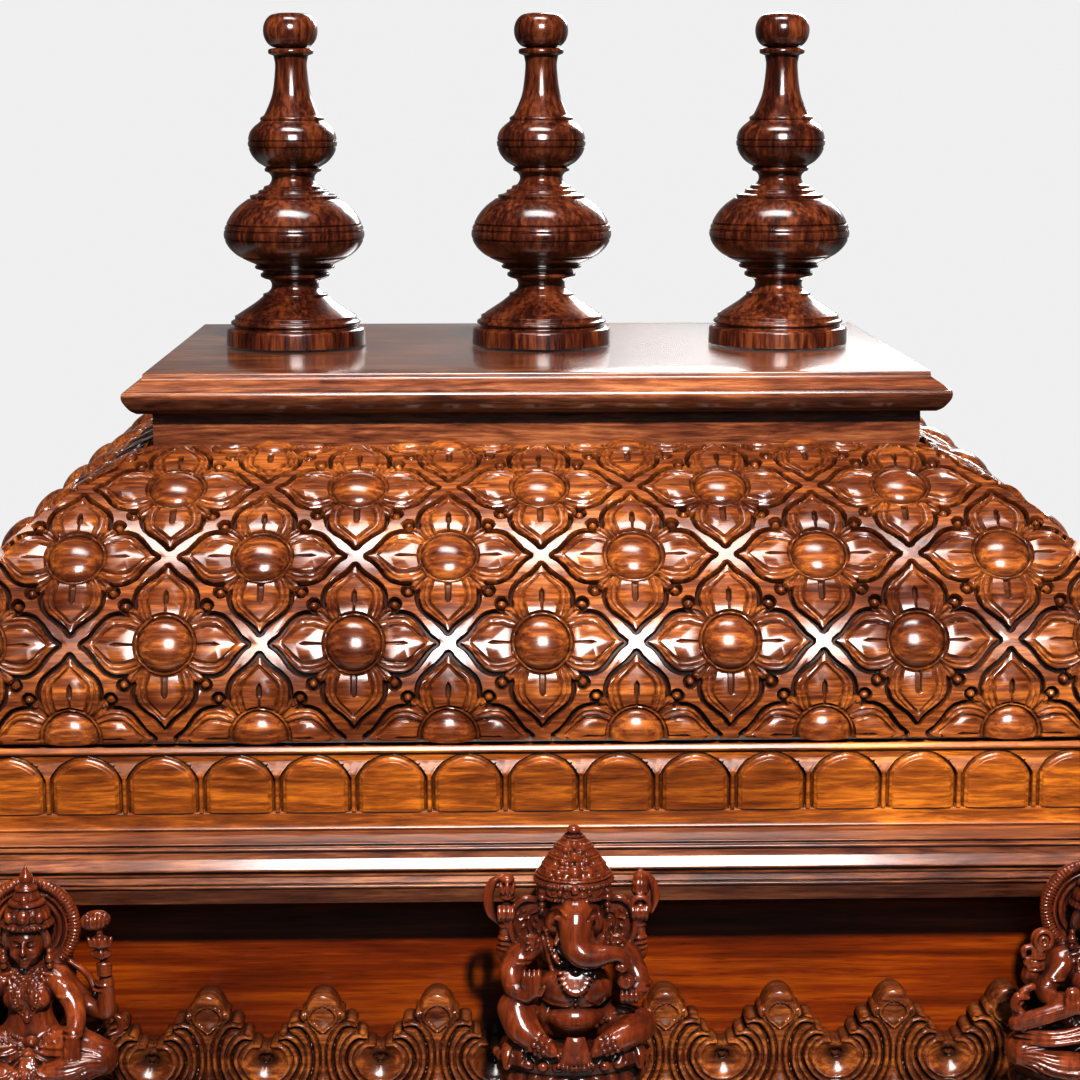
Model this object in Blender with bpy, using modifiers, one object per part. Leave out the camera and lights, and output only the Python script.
"""Home temple: a carved teak shrine. From the floor up it has a plinth and hollow base, a floor board,
four turned posts round an open chamber, a lintel, a shelf with three seated figures before a carved
crest, a cornice, a band for arched tablets, a curved roof carved with flowers, a top slab and three
turned finials.

Metres, +Z up. The origin is on the ground under the middle, and the front faces -Y. Widths are measured
as the distance that a face stands out beyond the flat top of the top slab: its "out".
"""

import math

import bmesh
import bpy
from mathutils import Matrix, Vector

COLLECTION = "home_temple"
GAP = 0.0003  # air between two pieces that touch

# Driving dimensions
SLAB_WIDTH = 0.479  # flat top of the top slab
SLAB_DEPTH = 0.328
BOARD = 0.018  # thickness of the plain boards
FLOWER_PITCH = 0.108  # along a row of the roof's flowers
CREST_PITCH = 0.0661  # between two peaks of the crest

HALF_X = SLAB_WIDTH / 2
HALF_Y = SLAB_DEPTH / 2

# Heights of the layers, from the ground up
PLINTH_HEIGHT = 0.036
BASE_HEIGHT = 0.125
FLOOR_HEIGHT = 0.026
POST_HEIGHT = 0.420
LINTEL_HEIGHT = 0.044
SHELF_HEIGHT = 0.034
FRIEZE_HEIGHT = 0.1218
CORNICE_HEIGHT = 0.0364
BAND_HEIGHT = 0.0455
NECK_HEIGHT = 0.0231
SLAB_HEIGHT = 0.0245
FINIAL_HEIGHT = 0.219

# The roof's outer line is two arcs, each (length, first slope, last slope), from the neck down
ROOF_ARCS = ((0.1050, 20.0, 47.0), (0.1055, 47.0, 97.0))
ROOF_BOARD = 0.016
FIRST_ROW = 0.0449  # from the neck down the arc to the first row of flowers
ROW_PITCH = 0.0535  # between rows, along the arc
BOSS_RADIUS = 0.0155


def roof_point(along):
    """(run, drop, slope in radians) of the roof's outer line at a distance along it from the neck."""
    run = drop = slope = 0.0
    for length, first, last in ROOF_ARCS:
        start, end = math.radians(first), math.radians(last)
        radius = length / (end - start)
        slope = start + min(along, length) / radius
        run += radius * (math.sin(slope) - math.sin(start))
        drop += radius * (math.cos(start) - math.cos(slope))
        along -= length
        if along <= 0:
            break
    return run, drop, slope


ROOF_LENGTH = sum(length for length, _, _ in ROOF_ARCS)
ROOF_RUN, ROOF_DROP, _ = roof_point(ROOF_LENGTH)

# Levels: the top of each layer
PLINTH_TOP = PLINTH_HEIGHT
BASE_TOP = PLINTH_TOP + BASE_HEIGHT
FLOOR_TOP = BASE_TOP + FLOOR_HEIGHT
POST_TOP = FLOOR_TOP + POST_HEIGHT
LINTEL_TOP = POST_TOP + LINTEL_HEIGHT
SHELF_TOP = LINTEL_TOP + SHELF_HEIGHT
FRIEZE_TOP = SHELF_TOP + FRIEZE_HEIGHT
CORNICE_TOP = FRIEZE_TOP + CORNICE_HEIGHT
BAND_TOP = CORNICE_TOP + BAND_HEIGHT
ROOF_TOP = BAND_TOP + ROOF_DROP
NECK_TOP = ROOF_TOP + NECK_HEIGHT
SLAB_TOP = NECK_TOP + SLAB_HEIGHT

# How far each layer's face stands out
NECK_OUT = -0.0047
SLAB_OUT = 0.0120
ROOF_OUT = NECK_OUT + ROOF_RUN
BAND_OUT = ROOF_OUT + 0.0185
CORNICE_OUT = BAND_OUT + 0.0255
FRIEZE_OUT = CORNICE_OUT - 0.0387
CREST_OUT = FRIEZE_OUT + GAP + 0.0220
SHELF_OUT = CORNICE_OUT + 0.0640
LINTEL_OUT = 0.165
FLOOR_OUT = 0.205
BASE_OUT = 0.185
PLINTH_OUT = 0.205
POST_SIDE = 0.070
PANEL_THICKNESS = 0.012
FINIAL_SEGMENTS = 10
POST_SEGMENTS = 8

# Figures: where each stands along the shelf, and how far out
GANESHA_X = 0.0147
LAKSHMI_X = -0.2865
SARASWATI_X = 0.303
FIGURE_OUT = 0.1804
FINIALS_X = {"left": -0.1590, "centre": 0.0060, "right": 0.1655}

# Turn from the front to each side, and the half length of the slab's top along that side
SIDES = {
    "front": (0.0, HALF_X, HALF_Y),
    "right": (math.pi / 2, HALF_Y, HALF_X),
    "back": (math.pi, HALF_X, HALF_Y),
    "left": (-math.pi / 2, HALF_Y, HALF_X),
}

COLOURS = {
    "carved": ((0.16, 0.045, 0.018, 1), 0.22),
    "turned": ((0.15, 0.042, 0.018, 1), 0.20),
    "board": ((0.19, 0.055, 0.022, 1), 0.18),
    "tablets": ((0.30, 0.105, 0.025, 1), 0.22),
    "frieze": ((0.34, 0.115, 0.025, 1), 0.30),
    "statue": ((0.14, 0.038, 0.017, 1), 0.24),
}


# ---------------------------------------------------------------- helpers


def material_for(name, finish):
    """A wood of its own for one piece."""
    colour, roughness = COLOURS[finish]
    material = bpy.data.materials.new(name)
    material.use_nodes = True
    shader = material.node_tree.nodes["Principled BSDF"]
    shader.inputs["Base Color"].default_value = colour
    shader.inputs["Roughness"].default_value = roughness
    shader.inputs["Metallic"].default_value = 0.0
    return material


def add_object(name, mesh, finish, place=(0, 0, 0), turn=0.0):
    """Puts a mesh in the scene as one piece of the temple."""
    piece = bpy.data.objects.new(name, mesh)
    piece.location = place
    piece.rotation_euler = (0, 0, turn)
    mesh.materials.clear()
    mesh.materials.append(material_for(name, finish))
    bpy.data.collections[COLLECTION].objects.link(piece)
    return piece


def to_mesh(bm, name):
    mesh = bpy.data.meshes.new(name)
    bmesh.ops.recalc_face_normals(bm, faces=bm.faces)
    bm.to_mesh(mesh)
    bm.free()
    return mesh


def extruded(outlines, depth):
    """A bmesh of flat outlines, inner ones being holes, filled in XY and extruded by depth about z = 0."""
    curve = bpy.data.curves.new("outline", "CURVE")
    curve.dimensions = "2D"
    curve.fill_mode = "BOTH"
    curve.extrude = depth / 2
    for outline in outlines:
        spline = curve.splines.new("POLY")
        spline.points.add(len(outline) - 1)
        for point, (x, y) in zip(spline.points, outline):
            point.co = (x, y, 0, 1)
        spline.use_cyclic_u = True
    helper = bpy.data.objects.new("outline", curve)
    bpy.context.scene.collection.objects.link(helper)
    graph = bpy.context.evaluated_depsgraph_get()
    mesh = bpy.data.meshes.new_from_object(helper.evaluated_get(graph))
    bpy.data.objects.remove(helper)
    bm = bmesh.new()
    bm.from_mesh(mesh)
    bmesh.ops.remove_doubles(bm, verts=bm.verts, dist=1e-6)
    bpy.data.meshes.remove(mesh)
    return bm


def cut(bm, point, normal):
    """Cuts away what lies beyond a plane, and closes the cut."""
    geometry = bm.verts[:] + bm.edges[:] + bm.faces[:]
    bmesh.ops.bisect_plane(bm, geom=geometry, plane_co=point, plane_no=normal, clear_outer=True)
    open_edges = [edge for edge in bm.edges if edge.is_boundary]
    bmesh.ops.holes_fill(bm, edges=open_edges)


def cut_mitres(bm, half, across):
    """Cuts both ends of a length along X at 45 degrees, for a side whose face is at y = -(across + out)."""
    inset = GAP / 2
    for end in (-1, 1):
        corner = Vector((end * (half - inset), -across, 0))
        cut(bm, corner, Vector((end, 1, 0)).normalized())


def moulding(name, side, profile, finish):
    """One side of a layer: a profile of (out, z) points, run along the side and mitred at both ends."""
    turn, half, across = SIDES[side]
    longest = half + max(out for out, _ in profile)
    bm = extruded([profile], 2 * longest + 0.02)
    along_x = Matrix(((0, 0, 1, 0), (-1, 0, 0, -across), (0, 1, 0, 0), (0, 0, 0, 1)))
    bmesh.ops.transform(bm, matrix=along_x, verts=bm.verts)
    cut_mitres(bm, half, across)
    return add_object(name, to_mesh(bm, name), finish, turn=turn)


def board_profile(inner, outer, low, high):
    return [(inner, low), (outer, low), (outer, high), (inner, high)]


def moulded_edge(outer, low, high):
    """The slab's edge from bottom to top: an undercut, a round nose, a lip, an ogee and a thin fillet."""
    tall = high - low
    nose = outer - SLAB_OUT
    steps = ((0.30, 0.00), (0.70, 0.20), (0.96, 0.38), (1.00, 0.50), (0.90, 0.58), (0.72, 0.64))
    steps += ((0.42, 0.74), (0.14, 0.84), (0.03, 0.88), (0.00, 1.00))
    return [(nose + SLAB_OUT * x, low + tall * z) for x, z in steps]


def moulded_board(name, edge, finish):
    """A full board whose edge runs all round: its bottom face drawn up through the edge's points."""
    bm = bmesh.new()
    bmesh.ops.create_grid(bm, x_segments=1, y_segments=1, size=1)
    face = bm.faces[:][0]
    shape_rectangle(face.verts, edge[0])
    for point in edge[1:]:
        drawn = bmesh.ops.extrude_face_region(bm, geom=[face])["geom"]
        if len(bm.faces) == 6:
            bmesh.ops.reverse_faces(bm, faces=[face])
        else:
            bm.faces.remove(face)
        face = next(part for part in drawn if isinstance(part, bmesh.types.BMFace))
        shape_rectangle(face.verts, point)
    return add_object(name, to_mesh(bm, name), finish)


def shape_rectangle(corners, point):
    out, z = point
    for corner in corners:
        corner.co.x = math.copysign(HALF_X + out, corner.co.x)
        corner.co.y = math.copysign(HALF_Y + out, corner.co.y)
        corner.co.z = z


def turned_mesh(name, profile, segments):
    """A mesh turned about Z from a profile of (radius, z) points, top to bottom."""
    bm = bmesh.new()
    ring = [bm.verts.new((radius, 0, z)) for radius, z in profile]
    for upper, lower in zip(ring, ring[1:]):
        bm.edges.new((upper, lower))
    mesh = bpy.data.meshes.new(name)
    bm.to_mesh(mesh)
    bm.free()
    helper = bpy.data.objects.new("turned", mesh)
    bpy.context.scene.collection.objects.link(helper)
    screw = helper.modifiers.new("Turn", "SCREW")
    screw.steps = screw.render_steps = segments
    screw.use_merge_vertices = True
    screw.merge_threshold = 0.0001
    graph = bpy.context.evaluated_depsgraph_get()
    turned = bpy.data.meshes.new_from_object(helper.evaluated_get(graph))
    bpy.data.objects.remove(helper)
    turned.name = name
    return turned


def bulge(low, high, edge, middle, points=5):
    """(radius, z) points of a rounded bulb, bottom to top, on an elliptic arc between two edge radii."""
    stretch = []
    for step in range(points):
        angle = math.pi * (step / (points - 1) - 0.5)
        z = (low + high) / 2 + (high - low) / 2 * math.sin(angle)
        stretch.append((edge + (middle - edge) * math.cos(angle), z))
    return stretch


def hollow(low, high, first, last, points=4):
    """(radius, z) points of a flaring cove, bottom to top: wide at first, then narrowing to last."""
    stretch = []
    for step in range(points):
        part = step / (points - 1)
        ease = 1 - math.cos(part * math.pi / 2)
        radius = first + (last - first) * math.sin(part * math.pi / 2)
        stretch.append((radius, low + (high - low) * ease))
    return stretch


# ---------------------------------------------------------------- turned pieces


def finial_profile():
    """The finial's (radius, z) points from its foot up."""
    foot = [(0.0468, 0.0), (0.0468, 0.0120), (0.0415, 0.0140), (0.0440, 0.0172)]
    skirt = hollow(0.0185, 0.0285, 0.0425, 0.0258, 3)
    lower_neck = [(0.0258, 0.0332), (0.0173, 0.0350), (0.0173, 0.0432), (0.0234, 0.0445), (0.0234, 0.0528)]
    big_bulb = bulge(0.0545, 0.0945, 0.0260, 0.0468)
    ledges = [(0.0299, 0.0952), (0.0299, 0.0982), (0.0215, 0.0995)]
    ledges += [(0.0234, 0.1018), (0.0234, 0.1048), (0.0146, 0.1062), (0.0146, 0.1142)]
    small_bulb = [(0.0207, 0.1165)] + bulge(0.1195, 0.1490, 0.0200, 0.0299)
    rim = [(0.0215, 0.1528)]
    stem = [(0.0123, 0.1672), (0.0107, 0.1822), (0.0154, 0.1930), (0.0154, 0.1962)]
    knob = bulge(0.1970, 0.2185, 0.0120, 0.0184, 4)
    return foot + skirt + lower_neck + big_bulb + ledges + small_bulb + rim + stem + knob


def finials():
    profile = finial_profile()
    outline = [(0.0, FINIAL_HEIGHT)] + profile[::-1] + [(0.0, 0.0)]
    for name, x in FINIALS_X.items():
        piece = turned_mesh(f"finial_{name}", outline, FINIAL_SEGMENTS)
        add_object(f"finial_{name}", piece, "turned", (x, 0, SLAB_TOP + GAP))


def post_profile(height):
    """The turned shaft of a post between its square ends, from the bottom up."""
    low, high = 0.070, height - 0.070
    foot = [(0.030, low - 0.004), (0.030, low + 0.008), (0.022, low + 0.012)]
    bulb = bulge(low + 0.020, low + 0.075, 0.020, 0.031, 5)
    shaft = [(0.017, low + 0.088), (0.021, (low + high) / 2), (0.017, high - 0.072)]
    crown = bulge(high - 0.062, high - 0.020, 0.019, 0.029, 5)
    head = [(0.022, high - 0.012), (0.030, high - 0.008), (0.030, high + 0.004)]
    return foot + bulb + shaft + crown + head


def posts():
    height = POST_HEIGHT - GAP
    profile = post_profile(height)
    outline = [(0.0, profile[-1][1])] + profile[::-1] + [(0.0, profile[0][1])]
    middle = LINTEL_OUT - POST_SIDE / 2
    for name, right, back in (
        ("front_left", -1, -1),
        ("front_right", 1, -1),
        ("back_left", -1, 1),
        ("back_right", 1, 1),
    ):
        place = (right * (HALF_X + middle), back * (HALF_Y + middle), FLOOR_TOP + GAP)
        shaft = turned_mesh(f"post_{name}", outline, POST_SEGMENTS)
        piece = add_object(f"post_{name}", shaft, "turned", place)
        for end, centre in (("foot", 0.035), ("head", height - 0.035)):
            block = square_block(f"{piece.name}_{end}", place, centre)
            union = piece.modifiers.new(end, "BOOLEAN")
            union.operation = "UNION"
            union.solver = "EXACT"
            union.object = block


def square_block(name, place, centre):
    """A helper block for one square end of a post, 70 mm each way."""
    bm = bmesh.new()
    bmesh.ops.create_cube(bm, size=POST_SIDE)
    mesh = to_mesh(bm, name)
    block = bpy.data.objects.new(name, mesh)
    block.location = Vector(place) + Vector((0, 0, centre))
    block.hide_render = True
    block.display_type = "WIRE"
    bpy.data.collections["cutters"].objects.link(block)
    return block


# ---------------------------------------------------------------- layers


def rings():
    """The layers made of four mitred lengths."""
    inner_roof = ROOF_OUT - ROOF_BOARD - 0.004
    cornice_steps = (
        (0.0040, 0.0000), (0.0040, 0.0020), (0.0058, 0.0032), (0.0020, 0.0052), (0.0022, 0.0095),
        (0.0006, 0.0115), (0.0000, 0.0150), (0.0008, 0.0185), (0.0030, 0.0215), (0.0032, 0.0245),
        (0.0058, 0.0262), (0.0062, 0.0364),
    )
    for side in SIDES:
        low = SHELF_TOP + GAP
        frieze = board_profile(FRIEZE_OUT - BOARD, FRIEZE_OUT, low, FRIEZE_TOP)
        moulding(f"frieze_{side}", side, frieze, "frieze")

        low = FRIEZE_TOP + GAP
        face = [(CORNICE_OUT - x, CORNICE_TOP - z) for x, z in cornice_steps[:-1]]
        face.append((CORNICE_OUT - cornice_steps[-1][0], low))
        inside = FRIEZE_OUT - BOARD
        moulding(f"cornice_{side}", side, face + [(inside, low), (inside, CORNICE_TOP)], "board")

        low = CORNICE_TOP + GAP
        band = [(inner_roof, low), (BAND_OUT, low), (BAND_OUT, BAND_TOP - 0.0022)]
        band += [(BAND_OUT - 0.0018, BAND_TOP), (inner_roof, BAND_TOP)]
        moulding(f"arch_band_{side}", side, band, "tablets")

        neck = board_profile(NECK_OUT - BOARD, NECK_OUT, ROOF_TOP + GAP, NECK_TOP)
        moulding(f"neck_{side}", side, neck, "board")

        low = LINTEL_TOP + GAP
        shelf = moulded_edge(SHELF_OUT, low, SHELF_TOP)
        inside = FRIEZE_OUT - BOARD
        moulding(f"shelf_{side}", side, shelf + [(inside, SHELF_TOP), (inside, low)], "board")

        low = POST_TOP + GAP
        inside = LINTEL_OUT - POST_SIDE
        lintel = [(inside, low), (LINTEL_OUT - 0.006, low), (LINTEL_OUT, low + 0.006)]
        lintel += [(LINTEL_OUT, LINTEL_TOP), (inside, LINTEL_TOP)]
        moulding(f"lintel_{side}", side, lintel, "board")

        base = board_profile(BASE_OUT - BOARD, BASE_OUT, PLINTH_TOP + GAP, BASE_TOP)
        moulding(f"base_{side}", side, base, "board")

        inside = BASE_OUT - BOARD
        plinth = [(inside, 0), (PLINTH_OUT, 0), (PLINTH_OUT, PLINTH_TOP - 0.014)]
        plinth += [(PLINTH_OUT - 0.004, PLINTH_TOP - 0.011), (PLINTH_OUT - 0.008, PLINTH_TOP - 0.003)]
        plinth += [(PLINTH_OUT - 0.012, PLINTH_TOP), (inside, PLINTH_TOP)]
        moulding(f"plinth_{side}", side, plinth, "board")


def panels():
    """The full boards: the top slab, the floor, the ceiling and the back of the chamber."""
    moulded_board("top_slab", moulded_edge(SLAB_OUT, NECK_TOP + GAP, SLAB_TOP), "board")
    moulded_board("floor_board", moulded_edge(FLOOR_OUT, BASE_TOP + GAP, FLOOR_TOP), "board")
    edge = FRIEZE_OUT - BOARD - GAP
    low = LINTEL_TOP + GAP
    ceiling = [(edge, low), (edge, low + PANEL_THICKNESS)]
    moulded_board("ceiling_board", ceiling, "board")

    between = HALF_X + LINTEL_OUT - POST_SIDE - GAP
    bm = bmesh.new()
    bmesh.ops.create_cube(bm, size=1)
    size = (2 * between, PANEL_THICKNESS, POST_HEIGHT - GAP)
    bmesh.ops.scale(bm, vec=size, verts=bm.verts)
    place = (0, HALF_Y + LINTEL_OUT - POST_SIDE / 2, FLOOR_TOP + GAP + size[2] / 2)
    add_object("back_panel", to_mesh(bm, "back_panel"), "frieze", place)


# ---------------------------------------------------------------- carved roof


def roof_bent(x, along, lift, across):
    """A point lifted off the roof's outer line, for a side whose slab edge is at y = -across."""
    run, drop, slope = roof_point(along)
    out = NECK_OUT + run + lift * math.sin(slope)
    return Vector((x, -across - out, ROOF_TOP - drop + lift * math.cos(slope)))


def roof_board_profile():
    """The plain curved board's section: its outer line sunk a little, and its inner line."""
    sunk = 0.0015
    steps = 13
    outer, inner = [], []
    for step in range(steps):
        along = ROOF_LENGTH * step / (steps - 1)
        run, drop, slope = roof_point(along)
        for line, depth in ((outer, sunk), (inner, ROOF_BOARD)):
            line.append((
                NECK_OUT + run - depth * math.sin(slope),
                ROOF_TOP - drop - depth * math.cos(slope),
            ))
    low = BAND_TOP + GAP
    outer[0] = (NECK_OUT, ROOF_TOP)
    outer[-1] = (outer[-1][0], low)
    inner[-1] = (inner[-1][0], low)
    inner[0] = (NECK_OUT - BOARD, inner[1][1] + 0.004)
    return [(NECK_OUT - BOARD, ROOF_TOP)] + outer + inner[::-1]


def flower(bm, x, along):
    """One diamond of the lattice, flat: a boss, four petals with grooves between, and half of each rib.

    The vertices hold (x, distance along the roof's line, lift).
    """
    half_x, half_v = FLOWER_PITCH / 2, ROW_PITCH
    centre = bm.verts.new((x, along, 0.0085))
    levels = []
    for radius, axis_lift, between_lift in ((BOSS_RADIUS, 0.0045, 0.0030), (0.55 * half_x, 0.0060, 0.0)):
        ring = []
        for step in range(8):
            angle = step * math.pi / 4
            reach = radius * (0.95 if step % 2 else 1.0)
            lift = between_lift if step % 2 else axis_lift
            point = (x + reach * math.cos(angle), along + reach * math.sin(angle), lift)
            ring.append(bm.verts.new(point))
        levels.append(ring)
    rim = []
    for step in range(8):
        angle = step * math.pi / 4
        reach_x, reach_v = half_x * math.cos(angle), half_v * math.sin(angle)
        if step % 2:
            norm = abs(math.cos(angle)) + abs(math.sin(angle))
            point = (x + reach_x / norm, along + reach_v / norm, 0.0035)
        else:
            point = (x + reach_x, along + reach_v, 0.0030)
        rim.append(bm.verts.new(point))
    boss, petals = levels
    for step in range(8):
        after = (step + 1) % 8
        bm.faces.new((centre, boss[step], boss[after]))
        bm.faces.new((boss[step], petals[step], petals[after], boss[after]))
        bm.faces.new((petals[step], rim[step], rim[after], petals[after]))


def flower_sheet(half):
    """The lattice of flowers as a flat sheet, trimmed to the roof's length, then given a thickness."""
    bm = bmesh.new()
    columns = math.ceil(half / FLOWER_PITCH) + 1
    for row in range(-1, 5):
        shift = 0.5 if row % 2 else 0.0
        for column in range(-columns, columns + 1):
            flower(bm, (column + shift) * FLOWER_PITCH, FIRST_ROW + row * ROW_PITCH)
    bmesh.ops.remove_doubles(bm, verts=bm.verts, dist=1e-5)
    for limit, way in ((0.0, -1), (ROOF_LENGTH, 1)):
        geometry = bm.verts[:] + bm.edges[:] + bm.faces[:]
        bmesh.ops.bisect_plane(
            bm, geom=geometry, plane_co=(0, limit, 0), plane_no=(0, way, 0), clear_outer=True
        )
    buried = -0.004
    drawn = bmesh.ops.extrude_face_region(bm, geom=bm.faces[:])["geom"]
    for part in drawn:
        if isinstance(part, bmesh.types.BMVert):
            part.co.z = buried
    return bm


def roofs():
    """Four curved boards. Three carry the carving, and the back one is plain."""
    for side, (turn, half, across) in SIDES.items():
        name = f"roof_{side}"
        if side == "back":
            moulding(name, side, roof_board_profile(), "carved")
            continue
        profile = roof_board_profile()
        reach = half + ROOF_OUT + 0.03
        board = extruded([profile], 2 * reach)
        along_x = Matrix(((0, 0, 1, 0), (-1, 0, 0, -across), (0, 1, 0, 0), (0, 0, 0, 1)))
        bmesh.ops.transform(board, matrix=along_x, verts=board.verts)
        board_piece = bpy.data.objects.new(f"{name}_board", to_mesh(board, name))

        sheet = flower_sheet(half + ROOF_OUT)
        for vert in sheet.verts:
            vert.co = roof_bent(*vert.co, across)
        sheet_piece = bpy.data.objects.new(f"{name}_carving", to_mesh(sheet, name))

        joined = union_mesh(board_piece, sheet_piece)
        bm = bmesh.new()
        bm.from_mesh(joined)
        cut_mitres(bm, half, across)
        cut(bm, Vector((0, 0, ROOF_TOP)), Vector((0, 0, 1)))
        cut(bm, Vector((0, 0, BAND_TOP + GAP)), Vector((0, 0, -1)))
        add_object(name, to_mesh(bm, name), "carved", turn=turn)


def union_mesh(first, second):
    """The union of two helper objects as a mesh. Both helpers are removed."""
    for helper in (first, second):
        bpy.context.scene.collection.objects.link(helper)
    union = first.modifiers.new("Union", "BOOLEAN")
    union.operation = "UNION"
    union.solver = "EXACT"
    union.object = second
    graph = bpy.context.evaluated_depsgraph_get()
    mesh = bpy.data.meshes.new_from_object(first.evaluated_get(graph))
    for helper in (first, second):
        bpy.data.objects.remove(helper)
    return mesh


# ---------------------------------------------------------------- crest

CREST_EYE = 0.0218  # height of the eye holes above the shelf
CREST_VALLEY = 0.0319
CREST_PEAK = 0.0616
CREST_SHIFT = 0.0045  # how far the peaks stand to the right of an even layout
BUD_RADIUS = 0.0100


def crest_unit():
    """The top line from one valley, over the peak, to just before the next valley: (x, height)."""
    rising = [(0.0, CREST_VALLEY), (0.13, 0.0345), (0.19, 0.0420), (0.27, 0.0500), (0.35, 0.0515)]
    half = [(x * CREST_PITCH, height) for x, height in rising]
    bud = []
    for step in range(4):
        angle = math.radians(195 - 70 * step)
        x = CREST_PITCH / 2 + BUD_RADIUS * math.cos(angle)
        bud.append((x, CREST_PEAK - BUD_RADIUS + BUD_RADIUS * math.sin(angle)))
    falling = [(CREST_PITCH - x, height) for x, height in half[:0:-1]]
    return half + bud + falling


def crest_outlines(half):
    """The crest board's outline, peak in the middle, and its eye holes."""
    units = math.ceil(half / CREST_PITCH) + 1
    top = []
    for unit in range(-units, units):
        start = (unit + 0.5) * CREST_PITCH + CREST_SHIFT
        top += [(start + x, height) for x, height in crest_unit() if abs(start + x) < half - 0.001]
    outline = [(-half, 0.0), (half, 0.0), (half, top[-1][1])] + top[::-1] + [(-half, top[0][1])]
    eyes = []
    for unit in range(-units, units):
        centre = (unit + 0.5) * CREST_PITCH + CREST_SHIFT
        if abs(centre) + 0.008 > half:
            continue
        angles = [math.tau * step / 6 for step in range(6)]
        eyes.append([
            (centre + 0.0048 * math.cos(angle), CREST_EYE + 0.0048 * math.sin(angle)) for angle in angles
        ])
    return [outline] + eyes


def crests():
    thickness = CREST_OUT - FRIEZE_OUT - GAP
    for side in ("front", "right", "left"):
        turn, half, across = SIDES[side]
        reach = half + (CREST_OUT if side == "front" else FRIEZE_OUT)
        bm = extruded(crest_outlines(reach), thickness)
        middle = -across - CREST_OUT + thickness / 2
        upright = Matrix.Translation((0, middle, SHELF_TOP + GAP)) @ Matrix.Rotation(math.pi / 2, 4, "X")
        bmesh.ops.transform(bm, matrix=upright, verts=bm.verts)
        add_object(f"crest_{side}", to_mesh(bm, f"crest_{side}"), "carved", turn=turn)


# ---------------------------------------------------------------- figures


class Figure:
    """A seated figure built up from rounded forms, in millimetres: right, towards the viewer, up."""

    def __init__(self, name):
        self.name = name
        self.bm = bmesh.new()

    def place(self, verts, matrix):
        bmesh.ops.transform(self.bm, matrix=matrix, verts=verts)

    def ball(self, centre, radii, tilt=0.0):
        """An ellipsoid, tilted in the front view by an angle in degrees."""
        made = bmesh.ops.create_uvsphere(self.bm, u_segments=16, v_segments=10, radius=1)
        right, forward, up = centre
        size = Matrix.Diagonal((radii[0], radii[1], radii[2], 1))
        turn = Matrix.Rotation(math.radians(tilt), 4, "Y")
        self.place(made["verts"], Matrix.Translation((right, -forward, up)) @ turn @ size)

    def limb(self, points, radii):
        """Rounded tapering lengths through a row of points."""
        for start, end, first, last in zip(points, points[1:], radii, radii[1:]):
            base = Vector((start[0], -start[1], start[2]))
            tip = Vector((end[0], -end[1], end[2]))
            axis = tip - base
            made = bmesh.ops.create_cone(
                self.bm, cap_ends=True, segments=14, radius1=first, radius2=last, depth=axis.length
            )
            turn = axis.to_track_quat("Z", "Y").to_matrix().to_4x4()
            self.place(made["verts"], Matrix.Translation((base + tip) / 2) @ turn)
        for point, radius in zip(points, radii):
            self.ball(point, (radius, radius, radius))

    def cone(self, low, high, bottom, top, centre=(0.0, 0.0)):
        """An upright cone or disc, as wide as deep unless bottom and top are (width, depth) pairs."""
        wide, deep = bottom if isinstance(bottom, tuple) else (bottom, bottom)
        narrowing = (top[0] if isinstance(top, tuple) else top) / wide
        made = bmesh.ops.create_cone(
            self.bm, cap_ends=True, segments=20, radius1=1, radius2=narrowing, depth=high - low
        )
        size = Matrix.Diagonal((wide, deep, 1, 1))
        place = Matrix.Translation((centre[0], -centre[1], (low + high) / 2))
        self.place(made["verts"], place @ size)

    def halo(self, centre, radius, thick):
        """An upright ring behind the head."""
        steps = 20
        for step in range(steps):
            angle = math.tau * step / steps
            right = centre[0] + radius * math.cos(angle)
            up = centre[2] + radius * math.sin(angle)
            self.ball((right, centre[1], up), (thick, thick, thick))
            self.ball((right, centre[1], up), (1.5 * thick, 0.6 * thick, 1.5 * thick))

    def finish(self, x, triangles):
        """Fuses the forms into one body, thins it to a number of triangles and stands it on the shelf."""
        bmesh.ops.scale(self.bm, vec=(0.001, 0.001, 0.001), verts=self.bm.verts)
        place = (x, -HALF_Y - FIGURE_OUT, SHELF_TOP + GAP)
        piece = add_object(self.name, to_mesh(self.bm, self.name), "statue", place)
        fuse = piece.modifiers.new("Fuse", "REMESH")
        fuse.mode = "VOXEL"
        fuse.voxel_size = 0.0016
        graph = bpy.context.evaluated_depsgraph_get()
        fused = bpy.data.meshes.new_from_object(piece.evaluated_get(graph))
        piece.modifiers.remove(fuse)
        piece.data = fused
        fused.name = self.name
        count = sum(len(face.vertices) - 2 for face in fused.polygons)
        thin = piece.modifiers.new("Thin", "DECIMATE")
        thin.ratio = triangles / count
        thin.use_collapse_triangulate = True


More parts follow.
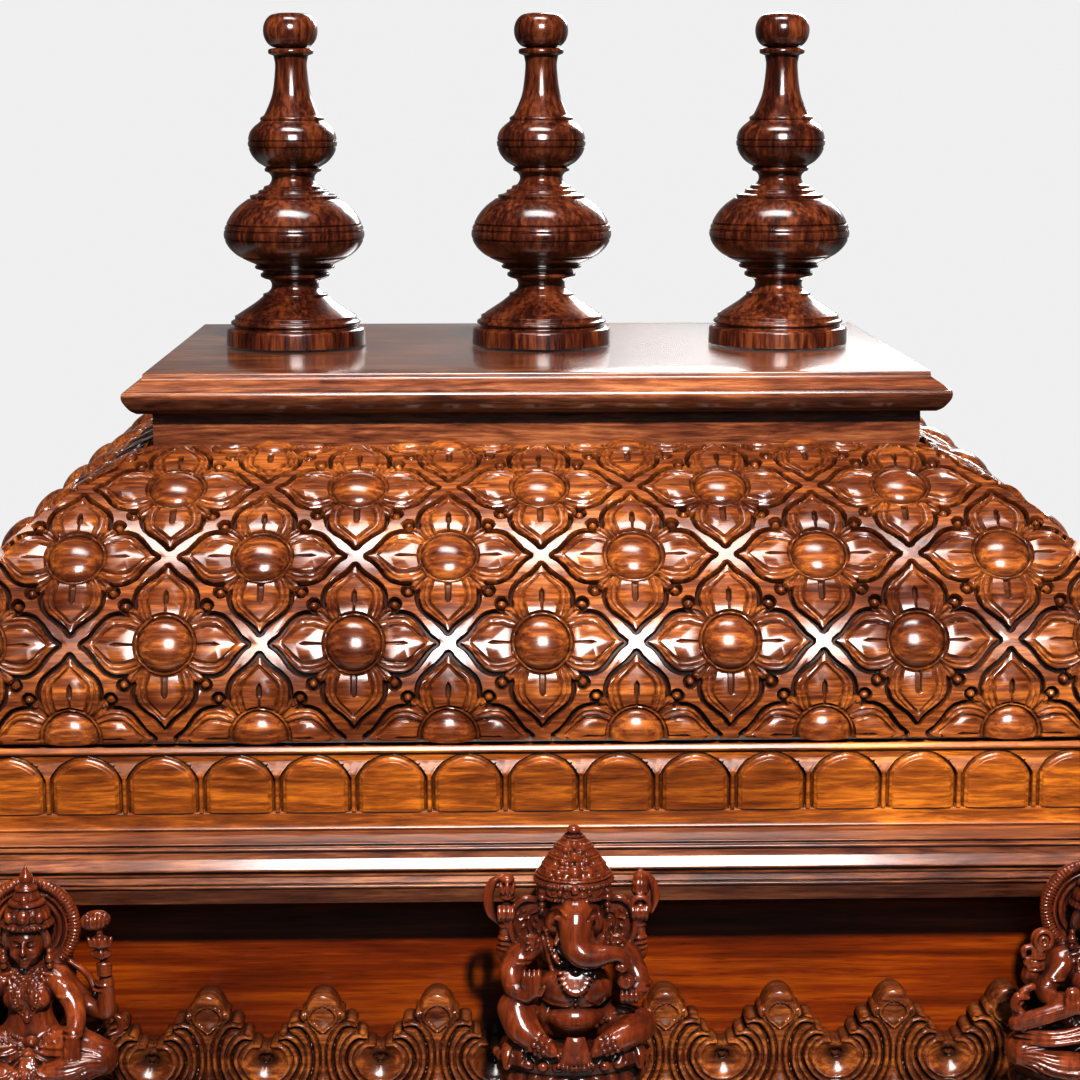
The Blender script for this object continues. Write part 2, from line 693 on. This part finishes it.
def ganesha():
    """An elephant-headed seated figure with four arms, one knee raised."""
    figure = Figure("ganesha")
    figure.cone(0, 24, (45, 29), (44, 28))
    figure.cone(24, 50, (41, 27), (42, 27.6))
    figure.ball((0, 3, 64), (34, 20, 15))
    figure.ball((1, 8, 80), (22.5, 18, 20))
    figure.ball((1, 3, 106), (21, 13, 14))
    figure.ball((1, 5, 130), (16.5, 14, 16))
    figure.cone(143, 172, 22.5, 4, (1, -1))
    figure.ball((1, 1, 172.5), (4, 4, 4))
    for side in (-1, 1):
        figure.ball((side * 25, 4, 124.5), (9.6, 4, 13.6), side * 10)
    trunk = [(1, 13, 136), (1, 19, 122), (1, 23, 112), (7, 25, 106), (18, 26, 107), (26, 25, 105)]
    trunk += [(28, 25, 99), (28, 25, 94)]
    figure.limb(trunk, [12, 9.5, 9, 7.8, 5.2, 4, 3.6, 4.6])
    for side in (-1, 1):
        shoulder, elbow = (side * 18, -1, 112), (side * 36.5, 0, 104)
        figure.limb([shoulder, elbow, (side * 36.5, 5, 127), (side * 38, 5, 143)], [8, 6.5, 5.5, 6])
    figure.limb([(-20, 5, 110), (-34, 11, 95), (-24, 21, 89)], [8, 6.8, 6.5])
    figure.limb([(20, 5, 110), (35, 11, 95), (31, 21, 86)], [8, 6.8, 6.5])
    figure.limb([(-14, 5, 68), (-31, 14, 75), (-22, 24, 61), (-12, 29, 56)], [12.5, 10.2, 7, 5])
    figure.limb([(14, 5, 64), (37, 12, 64), (22, 25, 60), (12, 29, 57)], [12, 9, 7, 5])
    figure.ball((1, 28, 54), (9, 4, 8))
    figure.finish(GANESHA_X, 680)


def seated_goddess(figure, rise):
    """The parts that the two crowned, haloed figures share: pedestal, folded legs, body, head and halo."""
    figure.cone(0, 34, (45, 28), (43, 26.6))
    figure.ball((0, 2, 47), (30, 18, 13))
    for side in (-1, 1):
        figure.limb([(side * 8, 3, 50), (side * 39, 12, 48.5), (side * 8, 23, 41)], [12, 9.8, 7])
    figure.ball((0, 2, 64), (15, 12, 16))
    figure.ball((0, 2, 84 + rise), (16, 12, 14))
    figure.limb([(0, 0, 93 + rise), (0, 2, 104 + rise)], [6.4, 6])
    figure.ball((0, 4, 112.5 + rise), (11, 10.5, 13))
    figure.cone(120 + rise, 152 + rise, 13.5, 3, (0.6, 1.5))
    figure.ball((0.6, 1.5, 151.5 + rise), (2.8, 2.8, 3))
    figure.halo((0, -8, 117 + rise), 24.6, 3.4)
    figure.ball((0, -8, 109 + rise), (21, 3, 17))


def lakshmi():
    """A seated figure with a halo, two hands raised with lotus buds and two lowered."""
    figure = Figure("lakshmi")
    seated_goddess(figure, 0)
    for side in (-1, 1):
        raised = [(side * 17, -2, 89), (side * 34, 1, 73), (side * 42, 3, 72), (side * 43, 7, 98)]
        figure.limb(raised + [(side * 39.5, 7, 125)], [6.6, 5.8, 5.6, 4.4, 6])
        figure.limb([(side * 17, 3, 88), (side * 27, 13, 70), (side * 26, 21, 58)], [7, 5.5, 5])
    figure.finish(LAKSHMI_X, 580)


def saraswati():
    """A seated figure with a halo, holding a long lute across the body."""
    figure = Figure("saraswati")
    seated_goddess(figure, 5.6)
    figure.limb([(-45, 19, 65), (-6, 23, 80), (34, 13, 103)], [4.6, 4.6, 4])
    figure.ball((32, 10, 97), (9.2, 7, 9.2))
    figure.limb([(-17, 2, 93), (-26, 12, 79), (-16, 23, 83)], [7, 6, 5])
    figure.limb([(17, 2, 93), (28, 10, 86), (18, 21, 94)], [7, 6, 5])
    for side in (-1, 1):
        figure.limb([(side * 17, -2, 94), (side * 34, 3, 86), (side * 32, 8, 110)], [6.4, 5.4, 5.6])
    figure.limb([(-42, 17, 70), (-46, 17, 76), (-40, 17, 80)], [4, 3, 3])
    figure.finish(SARASWATI_X, 580)


def main():
    for old in list(bpy.data.objects):
        bpy.data.objects.remove(old, do_unlink=True)
    for name in (COLLECTION, "cutters"):
        bpy.context.scene.collection.children.link(bpy.data.collections.new(name))
    bpy.data.collections["cutters"].hide_render = True
    finials()
    panels()
    rings()
    roofs()
    crests()
    ganesha()
    lakshmi()
    saraswati()
    posts()


main()
